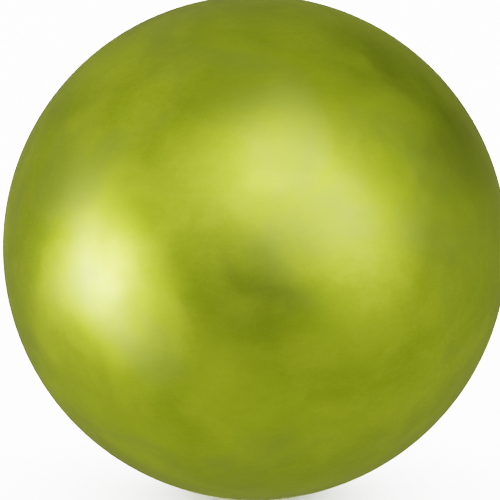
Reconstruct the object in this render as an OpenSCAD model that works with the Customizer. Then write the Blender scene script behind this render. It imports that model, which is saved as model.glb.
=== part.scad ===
// Juggling ball: a seamless moulded shell, a push-in plug that closes its filling port,
// and a loose filling of salt. The origin is the centre of the ball, +Z is up, and the
// port and its plug are on +Y.

/* [Ball] */
// Outside diameter of the ball
ball_d = 70; // [62:1:80]
// Thickness of the moulded wall
wall = 2.2; // [1.8:0.1:3]

/* [Filling port] */
// Diameter of the hole that the salt is poured through
bore_d = 7; // [6:0.5:8]
// How far the thickened boss reaches in from the wall
boss_h = 4; // [3:0.5:5]
// Thickness of the material around the hole
boss_wall = 3; // [2.5:0.5:4]

/* [Plug] */
// Diameter of the plug's flat head
head_d = 10; // [9.5:0.5:12]
// Thickness of the plug's head
head_t = 1.2; // [1:0.1:1.6]
// Number of sealing ribs round the stem
ribs = 3; // [2:1:4]
// Width of the notch that a fingernail catches
notch_w = 2.4; // [1.6:0.2:3]

/* [Filling] */
// Share of the cavity that the salt fills
fill_share = 0.25; // [0.2:0.01:0.26]
// Number of loose crystals lying on the salt
crystals = 140; // [40:10:160]
// Longest edge of a crystal
crystal_max = 1.6; // [1:0.1:1.7]

/* [Hidden] */
$fn = 96;

ball_r = ball_d / 2;
cavity_r = ball_r - wall;
bore_r = bore_d / 2;
head_r = head_d / 2;

face_y = sqrt(pow(ball_r, 2) - pow(head_r, 2)); // the flat head's rim is on the sphere
seat_gap = 0.05;                   // clearance round the head in its seat
seat_y = face_y - head_t;          // floor of the seat
boss_y = cavity_r - boss_h;        // inner end of the boss
boss_r = bore_r + boss_wall;
boss_flare = 1.5;                  // the boss widens by this much towards the wall

stem_gap = 0.04;                   // clearance between the ribs and the bore
rib_h = 0.35;                      // how far a rib stands out of the stem
stem_r = bore_r - stem_gap - rib_h;
stem_overhang = 0.8;               // the stem passes the end of the boss by this much
stem_tip_y = boss_y - stem_overhang;
stem_top_y = seat_y + head_t / 2;  // the stem runs on into the head
tip_l = 0.7;                       // length of the taper that starts the stem off
tip_taper = 0.35;                  // how much that taper takes off the radius
core_r = 1.9;                      // hollow of the stem, which lets it squeeze
head_chamfer = 0.25;
notch_floor = head_t / 3;          // thickness of the head under the notch

// A rib fills these shares of its pitch: a ramp, a crest and a steeper back.
rib_ramp = 0.45;
rib_crest = 0.15;
rib_back = 0.15;
plain_stem = 0.5;                  // pitches of plain stem between the ribs and the head

fill_gap = 0.3;                    // clearance between the salt and the wall
bed_r = cavity_r - fill_gap;
// The salt's level lies c radii under the centre, where c^3 - 3c = 4 fill_share - 2.
bed_z = -2 * bed_r * cos((acos(2 * fill_share - 1) + 720) / 3);
strewn_r = 0.83 * bed_r;           // crystals lie within this distance of the middle
golden_angle = 137.508;
crystal_min = 0.65 * crystal_max;
tilt_max = 40;
lift = 0.01;                       // keeps a crystal's lowest corner off the salt
size_seed = 11;
tilt_seed = 23;

// Turns its children so that their +Z points out of the port.
module on_port_axis() rotate([-90, 0, 0]) children();

// The boss ends in the middle of the wall, which covers the ring where they meet.
module boss() {
    intersection() {
        sphere(r = ball_r - wall / 2);
        on_port_axis()
            translate([0, 0, boss_y])
                cylinder(h = boss_h + wall, r1 = boss_r, r2 = boss_r + boss_flare);
    }
}

module shell() {
    color([0.62, 0.69, 0.12])
    difference() {
        union() {
            difference() {
                sphere(r = ball_r);
                sphere(r = cavity_r);
            }
            boss();
        }
        on_port_axis() {
            cylinder(h = ball_d, r = bore_r);
            translate([0, 0, seat_y]) cylinder(h = ball_d, r = head_r + seat_gap);
        }
    }
}

// One sealing rib round the stem, with its foot at z = 0.
module rib(pitch) {
    crest_r = stem_r + rib_h;
    crest_z = pitch * rib_ramp;
    back_z = crest_z + pitch * rib_crest;
    end_z = back_z + pitch * rib_back;
    rotate_extrude()
        polygon([
            [core_r, 0], [stem_r, 0], [crest_r, crest_z],
            [crest_r, back_z], [stem_r, end_z], [core_r, end_z]
        ]);
}

module plug_stem() {
    ribs_z = stem_tip_y + tip_l;
    rib_pitch = (seat_y - ribs_z) / (ribs + plain_stem);
    rotate_extrude()
        polygon([
            [core_r, stem_tip_y], [stem_r - tip_taper, stem_tip_y], [stem_r, ribs_z],
            [stem_r, stem_top_y], [core_r, stem_top_y]
        ]);
    for (i = [0 : ribs - 1])
        translate([0, 0, ribs_z + i * rib_pitch]) rib(rib_pitch);
}

module plug_head() {
    difference() {
        rotate_extrude()
            polygon([
                [0, seat_y], [head_r, seat_y], [head_r, face_y - head_chamfer],
                [head_r - head_chamfer, face_y], [0, face_y]
            ]);
        translate([0, head_r, seat_y + notch_floor]) cylinder(h = head_t, d = notch_w);
    }
}

module plug() {
    color([0.56, 0.64, 0.10])
    on_port_axis() {
        plug_head();
        plug_stem();
    }
}

module salt_bed() {
    color([0.93, 0.93, 0.90])
    intersection() {
        sphere(r = bed_r);
        translate([0, 0, bed_z - bed_r])
            cube(2 * bed_r, center = true);
    }
}

// How far the lowest corner of a tilted cube lies under its centre.
function corner_drop(edge, tilt) = edge / 2 * (
    abs(sin(tilt[1])) + abs(cos(tilt[1]) * sin(tilt[0])) + abs(cos(tilt[1]) * cos(tilt[0])));

// The crystals are strewn along a spiral that spreads them evenly over the salt, each
// with its own size and tilt.
module salt_crystals() {
    edges = rands(crystal_min, crystal_max, crystals, size_seed);
    tilts = rands(-tilt_max, tilt_max, 3 * crystals, tilt_seed);
    color([0.97, 0.97, 0.95])
    for (i = [0 : crystals - 1]) {
        tilt = [tilts[3 * i], tilts[3 * i + 1], tilts[3 * i + 2]];
        away = strewn_r * sqrt((i + 0.5) / crystals);
        turn = i * golden_angle;
        height = bed_z + corner_drop(edges[i], tilt) + lift;
        translate([away * cos(turn), away * sin(turn), height])
            rotate(tilt) cube(edges[i], center = true);
    }
}

shell();
plug();
salt_bed();
salt_crystals();
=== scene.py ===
"""A pearl lime juggling ball: its looks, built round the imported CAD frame."""

import math

import bmesh
import bpy
import numpy as np
from mathutils import Euler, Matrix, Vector, noise


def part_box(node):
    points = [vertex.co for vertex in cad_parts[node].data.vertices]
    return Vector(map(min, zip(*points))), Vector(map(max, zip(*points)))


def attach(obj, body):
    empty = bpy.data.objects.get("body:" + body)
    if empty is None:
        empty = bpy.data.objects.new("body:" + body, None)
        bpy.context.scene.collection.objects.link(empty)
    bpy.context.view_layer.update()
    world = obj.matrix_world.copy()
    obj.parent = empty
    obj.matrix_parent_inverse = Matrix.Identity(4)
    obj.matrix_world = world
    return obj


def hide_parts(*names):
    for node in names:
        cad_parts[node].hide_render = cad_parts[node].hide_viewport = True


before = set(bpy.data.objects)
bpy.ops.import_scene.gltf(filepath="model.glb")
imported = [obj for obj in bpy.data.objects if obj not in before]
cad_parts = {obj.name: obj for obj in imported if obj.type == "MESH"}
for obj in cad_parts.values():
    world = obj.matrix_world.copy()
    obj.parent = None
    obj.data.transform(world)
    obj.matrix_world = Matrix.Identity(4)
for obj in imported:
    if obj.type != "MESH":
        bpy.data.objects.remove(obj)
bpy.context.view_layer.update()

MM = 0.001

# ---------------------------------------------------------------- sizes, from the frame
SHELL_LOW, SHELL_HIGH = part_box("shell")
PLUG_LOW, PLUG_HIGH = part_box("plug")
BED_LOW, BED_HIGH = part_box("salt_bed")

BALL_R = (SHELL_HIGH.z - SHELL_LOW.z) / 2
FACE_Y = PLUG_HIGH.y               # the plug's flat face
STEM_TIP_Y = PLUG_LOW.y            # the plug's inner end
HEAD_R = (PLUG_HIGH.x - PLUG_LOW.x) / 2
BED_R = -BED_LOW.z                 # the salt lies in a sphere of this radius
BED_Z = BED_HIGH.z                 # level of the salt

# Sizes that a box can't give, as the CAD model has them.
WALL = 2.2 * MM
HEAD_T = 1.2 * MM
SEAT_R = HEAD_R + 0.05 * MM
SEAT_Y = FACE_Y - HEAD_T
BORE_R = 3.5 * MM
BOSS_R = 6.5 * MM                  # at the boss's inner end
BOSS_FLARE_R = 8.0 * MM            # where it meets the wall
BOSS_Y = 28.8 * MM
STEM_R = 3.11 * MM
RIB_R = 3.46 * MM
CORE_R = 1.9 * MM
NOTCH_R = 1.2 * MM
RIBS = 3
PLUG_COLUMNS = 256
CAVITY_R = BALL_R - WALL

# The way to the camera from the ball, and the picture's own right and up.
CAMERA_ELEVATION = math.radians(10)
TO_CAMERA = Vector((0, -math.cos(CAMERA_ELEVATION), math.sin(CAMERA_ELEVATION)))
PICTURE_RIGHT = Vector((1, 0, 0))
PICTURE_UP = TO_CAMERA.cross(PICTURE_RIGHT)


# ---------------------------------------------------------------- mesh helpers
def add_piece(name, corners, faces, material, smooth_angle=None):
    """Makes a smooth-shaded object from points and faces. Faces that meet at more than
    smooth_angle, in degrees, keep a sharp edge."""
    mesh = bpy.data.meshes.new(name)
    mesh.from_pydata([tuple(p) for p in corners], [], faces)
    bm = bmesh.new()
    bm.from_mesh(mesh)
    bmesh.ops.recalc_face_normals(bm, faces=bm.faces)
    for face in bm.faces:
        face.smooth = True
    if smooth_angle is not None:
        for edge in bm.edges:
            if len(edge.link_faces) == 2 and edge.calc_face_angle() > math.radians(smooth_angle):
                edge.smooth = False
    bm.to_mesh(mesh)
    bm.free()
    mesh.materials.append(material)
    piece = bpy.data.objects.new(name, mesh)
    bpy.context.scene.collection.objects.link(piece)
    return piece


def grid_faces(rows, columns, closed):
    """Quads over a grid of points, row by row. A closed grid joins its last column to its
    first."""
    faces = []
    for i in range(rows - 1):
        for j in range(columns if closed else columns - 1):
            k = (j + 1) % columns
            faces.append((i * columns + j, i * columns + k,
                          (i + 1) * columns + k, (i + 1) * columns + j))
    return faces


def weld(patches):
    """Joins grids, each (points as rows x columns x 3, closed), where their points meet."""
    points, faces = [], []
    start = 0
    for grid, closed in patches:
        rows, columns = grid.shape[:2]
        points.append(grid.reshape(-1, 3))
        faces += [tuple(start + n for n in f) for f in grid_faces(rows, columns, closed)]
        start += rows * columns
    points = np.concatenate(points)
    tolerance = 1e-7
    keys, first, index = np.unique(
        np.round(points / tolerance).astype(np.int64), axis=0,
        return_index=True, return_inverse=True)
    index = index.ravel()
    welded = []
    for face in faces:
        ring = []
        for n in face:
            if index[n] not in ring:
                ring.append(int(index[n]))
        if len(ring) > 2:
            welded.append(ring)
    return points[first], welded


def arc(centre, radius, start, end, steps):
    """Points along an arc in a section plane, with its angles in degrees."""
    turns = np.radians(np.linspace(start, end, steps + 1))
    return [(centre[0] + radius * math.cos(t), centre[1] + radius * math.sin(t)) for t in turns]


def turned(profile, columns, radius_at=None):
    """Sweeps a profile of (radius, y) points round the Y axis. radius_at(radius, y, angles)
    may change the radius along the way round."""
    angles = np.arange(columns) * 2 * math.pi / columns
    grid = np.zeros((len(profile), columns, 3))
    for i, (r, y) in enumerate(profile):
        radii = np.full(columns, r) if radius_at is None else radius_at(r, y, angles)
        grid[i, :, 0] = radii * np.cos(angles)
        grid[i, :, 1] = y
        grid[i, :, 2] = radii * np.sin(angles)
    return grid


# ---------------------------------------------------------------- material helpers
class Nodes:
    """A short way to build a node tree. position is where its patterns are anchored."""

    def __init__(self, tree, position):
        self.tree = tree
        self.position = tree.nodes.new("ShaderNodeTexCoord").outputs[position]

    def link(self, value, socket):
        if isinstance(value, (int, float, tuple)):
            socket.default_value = value
        else:
            self.tree.links.new(value, socket)

    def noise(self, scale, detail=2.0, roughness=0.5, distortion=0.0, place=None):
        """A noise value about 0.5. scale is in waves per metre."""
        node = self.tree.nodes.new("ShaderNodeTexNoise")
        node.inputs["Scale"].default_value = scale
        node.inputs["Detail"].default_value = detail
        node.inputs["Roughness"].default_value = roughness
        node.inputs["Distortion"].default_value = distortion
        self.link(place or self.position, node.inputs["Vector"])
        return node.outputs["Fac"]

    def cells(self, scale):
        """A node of irregular cells, each with its own colour. scale is in cells per metre."""
        node = self.tree.nodes.new("ShaderNodeTexVoronoi")
        node.inputs["Scale"].default_value = scale
        self.link(self.position, node.inputs["Vector"])
        return node

    def spread(self, value, low, high, to_low=0.0, to_high=1.0):
        """Maps low..high to to_low..to_high, smoothly and no further."""
        node = self.tree.nodes.new("ShaderNodeMapRange")
        node.interpolation_type = "SMOOTHSTEP"
        self.link(value, node.inputs["Value"])
        node.inputs["From Min"].default_value = low
        node.inputs["From Max"].default_value = high
        node.inputs["To Min"].default_value = to_low
        node.inputs["To Max"].default_value = to_high
        return node.outputs["Result"]

    def maths(self, operation, a, b):
        node = self.tree.nodes.new("ShaderNodeMath")
        node.operation = operation
        self.link(a, node.inputs[0])
        self.link(b, node.inputs[1])
        return node.outputs["Value"]

    def dot(self, vector):
        """How far the position reaches along a fixed vector."""
        node = self.tree.nodes.new("ShaderNodeVectorMath")
        node.operation = "DOT_PRODUCT"
        self.link(self.position, node.inputs[0])
        node.inputs[1].default_value = vector
        return node.outputs["Value"]

    def mix(self, share, a, b):
        """The colour a where share is 0 and b where it is 1."""
        node = self.tree.nodes.new("ShaderNodeMix")
        node.data_type = "RGBA"
        self.link(share, node.inputs["Factor"])
        self.link(a, node.inputs[6])
        self.link(b, node.inputs[7])
        return node.outputs[2]

    def vector(self, operation, a, b):
        node = self.tree.nodes.new("ShaderNodeVectorMath")
        node.operation = operation
        self.link(a, node.inputs[0])
        self.link(b, node.inputs[3 if operation == "SCALE" else 1])
        return node.outputs["Vector"]

    def bump(self, height, distance, strength=1.0, normal=None):
        """Turns a height of 0..1 into relief that is distance metres deep."""
        node = self.tree.nodes.new("ShaderNodeBump")
        node.inputs["Strength"].default_value = strength
        node.inputs["Distance"].default_value = distance
        self.link(height, node.inputs["Height"])
        if normal is not None:
            self.link(normal, node.inputs["Normal"])
        return node.outputs["Normal"]


class Material(Nodes):
    """A new material: its nodes and its shader."""

    def __init__(self, name):
        self.material = bpy.data.materials.new(name)
        self.material.use_nodes = True
        super().__init__(self.material.node_tree, "Object")
        self.shader = self.tree.nodes["Principled BSDF"]


# ---------------------------------------------------------------- materials
# Waves per metre of each pattern in the pearl.
WAVE_SCALE = 70                    # slow waves of the skin
FILM_SCALE = 60
DRIFT_SCALE = 45
HAZE_SCALE = 80
CLOUD_SCALE = 90
STREAK_SCALE = 230
GRAIN_SCALE = 1400
FLAKE_SCALE = 5200
STREAK_SQUEEZE = (0.45, 1, 1)      # draws the streaks out along X
WAVE_HEIGHT = 0.25 * MM
STREAK_HEIGHT = 0.003 * MM
PEARL_COAT = 0.5                   # share of the clear gloss

LIME = (0.65, 0.8, 0.1, 1)
LIME_PALE = (0.75, 0.9, 0.15, 1)
LIME_DEEP = (0.5, 0.65, 0.05, 1)
LIME_DULL = (0.5, 0.6, 0.2, 1)


def pearl_material(name, roughness, coat_roughness):
    """Moulded plastic with pearl pigment under a thin clear gloss. The pigment lies in soft
    clouds, as it settled while the shell was turned in its mould, and handling has left a
    dull film in places."""
    m = Material(name)
    clouds = m.spread(m.noise(CLOUD_SCALE, detail=4, roughness=0.5, distortion=0.4), 0.3, 0.7)
    along = m.vector("MULTIPLY", m.position, STREAK_SQUEEZE)
    streaks = m.noise(STREAK_SCALE, detail=5, roughness=0.6, distortion=0.4, place=along)
    streaks = m.spread(streaks, 0.3, 0.7)
    drift = m.noise(DRIFT_SCALE, detail=3, distortion=0.8)
    film = m.spread(m.noise(FILM_SCALE, detail=3, distortion=0.5), 0.45, 0.7)
    flake = m.tree.nodes.new("ShaderNodeSeparateColor")
    m.link(m.cells(FLAKE_SCALE).outputs["Color"], flake.inputs["Color"])
    sparkle = m.spread(flake.outputs[0], 0.0, 1.0, -0.1, 0.1)
    tone = m.maths("ADD", m.maths("MULTIPLY", clouds, 0.8), m.maths("MULTIPLY", streaks, 0.2))
    grain = m.spread(m.noise(GRAIN_SCALE, detail=2, place=along), 0.3, 0.7, -0.08, 0.08)
    tone = m.maths("ADD", m.maths("ADD", tone, sparkle), grain)
    colour = m.mix(tone, LIME_DEEP, LIME_PALE)
    colour = m.mix(m.spread(drift, 0.35, 0.65, 0.3, 0.7), colour, LIME)
    colour = m.mix(m.maths("MULTIPLY", film, 0.5), colour, LIME_DULL)
    m.link(colour, m.shader.inputs["Base Color"])
    haze = m.spread(m.noise(HAZE_SCALE, detail=3, distortion=0.4), 0.35, 0.65, -0.06, 0.06)
    m.link(m.maths("ADD", haze, roughness), m.shader.inputs["Roughness"])
    m.shader.inputs["Metallic"].default_value = 1.0
    m.shader.inputs["Coat Weight"].default_value = PEARL_COAT
    m.shader.inputs["Coat Roughness"].default_value = coat_roughness
    m.shader.inputs["Coat IOR"].default_value = 1.5
    waves = m.bump(m.noise(WAVE_SCALE, detail=1.5, distortion=0.3), WAVE_HEIGHT)
    waves = m.bump(streaks, STREAK_HEIGHT, normal=waves)
    m.link(waves, m.shader.inputs["Normal"])
    m.link(waves, m.shader.inputs["Coat Normal"])
    return m.material


def salt_material(name, base, grain_scale, relief):
    """White salt: grains with their own tone, and a dull sparkle."""
    m = Material(name)
    grain = m.cells(grain_scale)
    shade = m.tree.nodes.new("ShaderNodeSeparateColor")
    m.link(grain.outputs["Color"], shade.inputs["Color"])
    darker = tuple(c * 0.82 for c in base[:3]) + (1,)
    m.link(m.mix(shade.outputs[0], darker, base), m.shader.inputs["Base Color"])
    m.link(m.spread(shade.outputs[1], 0, 1, 0.25, 0.7), m.shader.inputs["Roughness"])
    m.link(m.bump(grain.outputs["Distance"], relief, strength=0.7), m.shader.inputs["Normal"])
    m.shader.inputs["Subsurface Weight"].default_value = 0.15
    m.shader.inputs["Subsurface Scale"].default_value = 0.5 * MM
    return m.material


# ---------------------------------------------------------------- shell
FACE_STEPS = 96                    # quads along one side of a cube face
RING_STEPS = 44                    # rings from the port's lip to the edge of its face
SWELL_HEIGHT = 0.02 * MM           # slow unevenness of the moulded skin
SWELL_WAVE = 18 * MM


def cube_face(axis):
    """Directions over one face of a cube, at equal angles, as a grid."""
    axis = Vector(axis)
    side = Vector((axis.y, axis.z, axis.x))
    up = axis.cross(side)
    t = np.tan(np.linspace(-math.pi / 4, math.pi / 4, FACE_STEPS + 1))
    a, b = np.meshgrid(t, t)
    grid = (np.array(axis) + a[..., None] * np.array(side) + b[..., None] * np.array(up))
    return grid / np.linalg.norm(grid, axis=2, keepdims=True)


def port_face(lip_r):
    """Directions over the +Y face, in rings from the port's lip out to the square edge."""
    columns = 4 * FACE_STEPS
    around = np.arange(columns) * 2 * math.pi / columns
    from_corner = (around + math.pi / 4) % (math.pi / 2) - math.pi / 4
    edge = np.arctan(1 / np.cos(from_corner))
    lip = math.asin(lip_r / BALL_R)
    share = np.linspace(0, 1, RING_STEPS + 1)[:, None]
    polar = lip + (edge[None, :] - lip) * share
    grid = np.zeros((RING_STEPS + 1, columns, 3))
    grid[..., 0] = np.sin(polar) * np.cos(around)
    grid[..., 1] = np.cos(polar)
    grid[..., 2] = np.sin(polar) * np.sin(around)
    return grid


def port_profile(lip_r):
    """Section through the port and the cavity, from the lip in to the far pole."""
    lip_round = lip_r - SEAT_R
    lip_y = math.sqrt(BALL_R ** 2 - lip_r ** 2)
    edge = 0.2 * MM
    points = [(lip_r, lip_y)]
    points += arc((SEAT_R + lip_round, lip_y - lip_round), lip_round, 90, 180, 5)[1:]
    points += [(SEAT_R, SEAT_Y + edge)]
    points += arc((SEAT_R - edge, SEAT_Y + edge), edge, 0, -90, 3)[1:]
    points += arc((BORE_R + edge, SEAT_Y - edge), edge, 90, 180, 3)
    points += [(BORE_R, (SEAT_Y + BOSS_Y) / 2)]
    points += arc((BORE_R + edge, BOSS_Y + edge), edge, 180, 270, 3)
    round_r = 0.6 * MM
    points += arc((BOSS_R - round_r, BOSS_Y + round_r), round_r, -90, 0, 4)
    blend = 1.2 * MM
    wall_y = math.sqrt(CAVITY_R ** 2 - BOSS_FLARE_R ** 2)
    points += [(BOSS_FLARE_R - 0.3 * MM, wall_y - blend)]
    points += [(BOSS_FLARE_R + 0.3 * MM, wall_y - 0.4 * MM)]
    start = math.degrees(math.asin((BOSS_FLARE_R + blend) / CAVITY_R))
    for polar in np.radians(np.linspace(start, 180, 40)):
        points.append((CAVITY_R * math.sin(polar), CAVITY_R * math.cos(polar)))
    return points


def swell(grid):
    """Moves the outer skin in and out a little, but for the port's lip."""
    for point in grid.reshape(-1, 3):
        away = math.hypot(point[0], point[2]) if point[1] > 0 else BALL_R
        fade = min(max((away - 1.2 * HEAD_R) / HEAD_R, 0), 1)
        wave = noise.noise(Vector(point) / SWELL_WAVE + Vector((3.1, 7.7, 1.3)))
        point *= 1 + SWELL_HEIGHT * fade * wave / BALL_R


def make_shell(material):
    lip_r = SEAT_R + 0.2 * MM
    outer = [(cube_face(axis) * BALL_R, False)
             for axis in ((1, 0, 0), (-1, 0, 0), (0, 0, 1), (0, 0, -1), (0, -1, 0))]
    outer.append((port_face(lip_r) * BALL_R, True))
    for grid, closed in outer:
        swell(grid)
    inner = (turned(port_profile(lip_r), 4 * FACE_STEPS), True)
    corners, faces = weld(outer + [inner])
    return add_piece("ball_shell", corners, faces, material, smooth_angle=50)


# ---------------------------------------------------------------- plug
def plug_profile():
    """Section through the plug, from the middle of its face round to its hollow."""
    edge = 0.25 * MM
    gate_r = 0.6 * MM              # mark where the plastic entered the mould
    points = [(0, FACE_Y - 0.12 * MM), (gate_r * 0.6, FACE_Y - 0.12 * MM),
              (gate_r, FACE_Y - 0.02 * MM), (gate_r * 1.3, FACE_Y)]
    points += [(r, FACE_Y) for r in np.linspace(gate_r * 2, HEAD_R - edge, 8)]
    points += arc((HEAD_R - edge, FACE_Y - edge), edge, 90, 0, 5)[1:]
    points += [(HEAD_R, y) for y in np.linspace(FACE_Y - 2 * edge, SEAT_Y + edge, 4)]
    points += arc((HEAD_R - edge / 2, SEAT_Y + edge / 2), edge / 2, 0, -90, 3)[1:]
    points += arc((STEM_R + edge, SEAT_Y - edge), edge, 90, 180, 4)
    length = SEAT_Y - 2 * edge - STEM_TIP_Y
    pitch = length / (RIBS + 1)
    for i in range(RIBS):
        crest = SEAT_Y - 2 * edge - pitch * (i + 0.75)
        for turn in np.linspace(-math.pi, math.pi, 13):
            lift = (1 + math.cos(turn)) / 2
            points.append((STEM_R + (RIB_R - STEM_R) * lift, crest - pitch * 0.42 * turn / math.pi))
    tip_round = 0.35 * MM
    points += arc((STEM_R - tip_round, STEM_TIP_Y + tip_round), tip_round, 0, -90, 4)
    points += arc((CORE_R + tip_round, STEM_TIP_Y + tip_round), tip_round, -90, -180, 4)
    roof = SEAT_Y + HEAD_T / 3
    points += [(CORE_R, (STEM_TIP_Y + roof) / 2)]
    points += arc((CORE_R - tip_round, roof - tip_round), tip_round, 0, 90, 4)
    points += [(0, roof)]
    return points


def notched(radius, y, angles):
    """Cuts a fingernail notch in the head's rim, at the bottom."""
    radii = np.full(len(angles), radius)
    floor_y = SEAT_Y + HEAD_T / 3
    depth = min(max((y - floor_y) / (0.15 * MM), 0), 1)
    off = (angles + math.pi / 2 + math.pi) % (2 * math.pi) - math.pi
    reach = HEAD_R * np.sin(off)
    inside = (np.abs(reach) < NOTCH_R) & (np.cos(off) > 0)
    limit = HEAD_R * np.cos(off) - np.sqrt(np.clip(NOTCH_R ** 2 - reach ** 2, 0, None))
    cut = np.where(inside, np.minimum(radii, limit), radii)
    return radii + (cut - radii) * depth


def make_plug(material):
    grid = turned(plug_profile(), PLUG_COLUMNS, notched)
    corners, faces = weld([(grid, True)])
    return add_piece("filling_plug", corners, faces, material, smooth_angle=45)


# ---------------------------------------------------------------- filling
def make_salt_bed(material):
    """The poured salt: a bowl-shaped underside and an uneven, grainy top."""
    columns, rings = 180, 60
    rim_r = math.sqrt(BED_R ** 2 - BED_Z ** 2)
    rows = []
    for i in range(rings + 1):
        r = rim_r * i / rings
        row = []
        for j in range(columns):
            turn = j * 2 * math.pi / columns
            x, y = r * math.cos(turn), r * math.sin(turn)
            fade = min((rim_r - r) / (2 * MM), 1)
            drift = noise.noise(Vector((x, y, 0)) / (14 * MM))
            grain = noise.noise(Vector((x, y, 5 * MM)) / (0.9 * MM))
            row.append((x, y, BED_Z + fade * (0.25 * drift + 0.12 * grain - 0.3) * MM))
        rows.append(row)
    start = math.asin(BED_Z / BED_R)
    for lean in np.linspace(start, -math.pi / 2, 30)[1:]:
        r = BED_R * math.cos(lean)
        rows.append([(r * math.cos(t), r * math.sin(t), BED_R * math.sin(lean))
                     for t in np.arange(columns) * 2 * math.pi / columns])
    corners, faces = weld([(np.array(rows), True)])
    return add_piece("salt_fill", corners, faces, material, smooth_angle=60)


def make_crystals(material):
    """Loose crystals strewn over the salt: worn cubes, each with its own size and tilt."""
    count = 140
    strewn_r = 0.83 * BED_R
    golden_angle = math.radians(137.508)
    draw = np.random.default_rng(5)
    bm = bmesh.new()
    for i in range(count):
        edge = draw.uniform(1.0, 1.55) * MM
        away = strewn_r * math.sqrt((i + 0.5) / count)
        turn = i * golden_angle
        made = bmesh.ops.create_cube(bm, size=edge)["verts"]
        tilt = Euler(draw.uniform(-0.6, 0.6, 3)).to_matrix()
        bmesh.ops.rotate(bm, verts=made, cent=(0, 0, 0), matrix=tilt)
        lowest = min(v.co.z for v in made)
        bmesh.ops.translate(bm, verts=made, vec=(
            away * math.cos(turn), away * math.sin(turn), BED_Z - lowest - 0.05 * MM))
    bmesh.ops.bevel(bm, geom=bm.edges[:], offset=0.12 * MM, segments=2, affect="EDGES",
                    profile=0.6)
    mesh = bpy.data.meshes.new("salt_grains")
    bm.to_mesh(mesh)
    bm.free()
    for face in mesh.polygons:
        face.use_smooth = False
    mesh.materials.append(material)
    piece = bpy.data.objects.new("salt_grains", mesh)
    bpy.context.scene.collection.objects.link(piece)
    return piece


# ---------------------------------------------------------------- build
pearl = pearl_material("pearl_lime", 0.4, 0.15)
pearl_plug = pearl_material("pearl_lime_plug", 0.45, 0.25)
salt = salt_material("poured_salt", (0.86, 0.86, 0.83, 1), 1600, 0.2 * MM)
crystal = salt_material("salt_crystal", (0.92, 0.92, 0.9, 1), 400, 0.05 * MM)

shell = make_shell(pearl)
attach(shell, "shell")
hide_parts("shell")

plug = make_plug(pearl_plug)
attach(plug, "plug")
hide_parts("plug")

bed = make_salt_bed(salt)
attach(bed, "filling")
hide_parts("salt_bed")

grains = make_crystals(crystal)
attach(grains, "filling")
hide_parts("salt_crystals")


# ---------------------------------------------------------------- camera
CAMERA_AWAY = 0.7
FRAME_FILL = 1.01                  # the ball's width as a share of the picture's
FRAME_RIGHT = 0.01                 # how far right of the middle the ball sits, likewise
FRAME_UP = 0.005                   # and how far above it

camera = bpy.data.objects.new("camera", bpy.data.cameras.new("camera"))
bpy.context.scene.collection.objects.link(camera)
outline = math.tan(math.asin(BALL_R / CAMERA_AWAY))
half_view = outline / FRAME_FILL
camera.data.lens = camera.data.sensor_width / 2 / half_view
camera.data.shift_x = -FRAME_RIGHT
camera.data.shift_y = -FRAME_UP
camera.data.clip_start = 0.01
camera.location = TO_CAMERA * CAMERA_AWAY
camera.rotation_euler = (math.pi / 2 - CAMERA_ELEVATION, 0, 0)
bpy.context.scene.camera = camera


# ---------------------------------------------------------------- floor and studio
def add_floor():
    """A plain pale floor. It shows the ball's shadow but lights nothing, so that the ball
    mirrors only the studio."""
    columns, floor_r = 64, 4.0
    grid = np.zeros((2, columns, 3))
    grid[..., 2] = -BALL_R
    for j in range(columns):
        turn = j * 2 * math.pi / columns
        grid[1, j, :2] = (floor_r * math.cos(turn), floor_r * math.sin(turn))
    corners, faces = weld([(grid, True)])
    m = Material("floor")
    m.link(m.mix(m.noise(8), (0.84, 0.84, 0.84, 1), (0.87, 0.87, 0.87, 1)),
           m.shader.inputs["Base Color"])
    m.shader.inputs["Roughness"].default_value = 1.0
    m.shader.inputs["Specular IOR Level"].default_value = 0.0
    floor = add_piece("floor", corners, faces, m.material)
    floor.visible_diffuse = False
    floor.visible_glossy = False
    floor.visible_transmission = False
    floor.visible_shadow = False


def direction(off_axis, clock):
    """A direction from the ball. off_axis is its angle from the camera, and clock its angle
    round the picture, anticlockwise from the right, in degrees."""
    a, c = math.radians(off_axis), math.radians(clock)
    across = PICTURE_RIGHT * math.cos(c) + PICTURE_UP * math.sin(c)
    return TO_CAMERA * math.cos(a) + across * math.sin(a)


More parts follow.
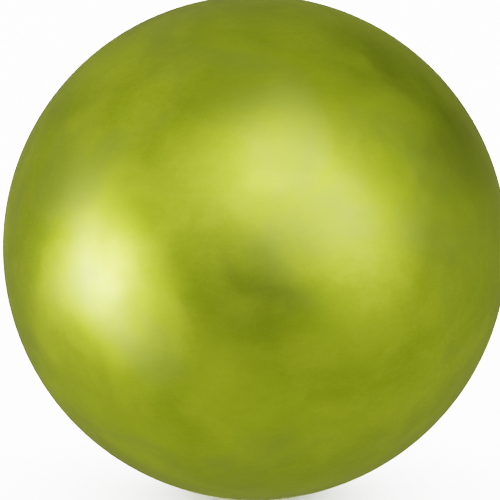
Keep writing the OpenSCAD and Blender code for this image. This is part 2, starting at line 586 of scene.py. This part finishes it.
def soft_patch(sky, off_axis, clock, outward, around):
    """1 in one direction, fading away from it as a bell curve. outward and around are how
    far off it has faded to 1/e, in degrees away from the camera's line and round it."""
    towards = direction(off_axis, clock)
    out = direction(off_axis + 90, clock)
    ahead = sky.dot(towards)
    reach = []
    for axis, size in ((out, outward), (towards.cross(out), around)):
        angle = sky.maths("ARCTAN2", sky.dot(axis), ahead)
        share = sky.maths("DIVIDE", angle, math.radians(size))
        reach.append(sky.maths("MULTIPLY", share, share))
    spread = sky.maths("ADD", reach[0], reach[1])
    return sky.maths("EXPONENT", sky.maths("MULTIPLY", spread, -1.0), 0.0)


def add_studio(lights, cards, backdrop):
    """Soft lights and dark cards in a dim room, for the ball to mirror. The picture's
    background and the floor get plain light of their own, backdrop."""
    world = bpy.data.worlds.new("studio")
    bpy.context.scene.world = world
    world.use_nodes = True
    world.cycles.sampling_method = "NONE"
    sky = Nodes(world.node_tree, "Generated")
    mirrored = ROOM_LIGHT
    for strength, *place in lights:
        glow = sky.maths("MULTIPLY", soft_patch(sky, *place), strength)
        mirrored = sky.vector("ADD", mirrored, glow)
    for depth, *place in cards:
        left = sky.maths("SUBTRACT", 1.0, sky.maths("MULTIPLY", soft_patch(sky, *place), depth))
        mirrored = sky.vector("SCALE", mirrored, left)
    rays = sky.tree.nodes.new("ShaderNodeLightPath")
    plain = sky.maths("MAXIMUM", rays.outputs["Is Camera Ray"], rays.outputs["Is Diffuse Ray"])
    background = sky.tree.nodes["Background"]
    sky.link(sky.mix(plain, mirrored, (backdrop, backdrop, backdrop, 1)),
             background.inputs["Color"])
    background.inputs["Strength"].default_value = 1.0


ROOM_LIGHT = (0.3, 0.3, 0.15)      # dim and warm, the same all round
# A highlight lies at half its light's angle from the camera, so each light is placed by
# which part of the ball should shine. strength, off-axis, clock, outward, around
LIGHTS = (
    (6, 75, 190, 15, 15),          # a large light low on the left
    (2, 35, 70, 20, 20),           # two that make an arc over the upper right
    (2, 45, 10, 15, 20),
    (0.5, 30, 120, 20, 20),        # a weak one above the middle
)
# depth, off-axis, clock, outward, around
CARDS = (
    (0.8, 10, 270, 25, 25),        # whoever stands at the camera
    (0.6, 120, 40, 30, 30),        # an unlit corner of the room, up on the right
    (0.4, 180, 0, 50, 50),         # the dark beyond the ball, which its rim mirrors
)

add_floor()
add_studio(LIGHTS, CARDS, backdrop=10)

bpy.context.scene.view_settings.view_transform = "Filmic"
bpy.context.scene.view_settings.look = "High Contrast"
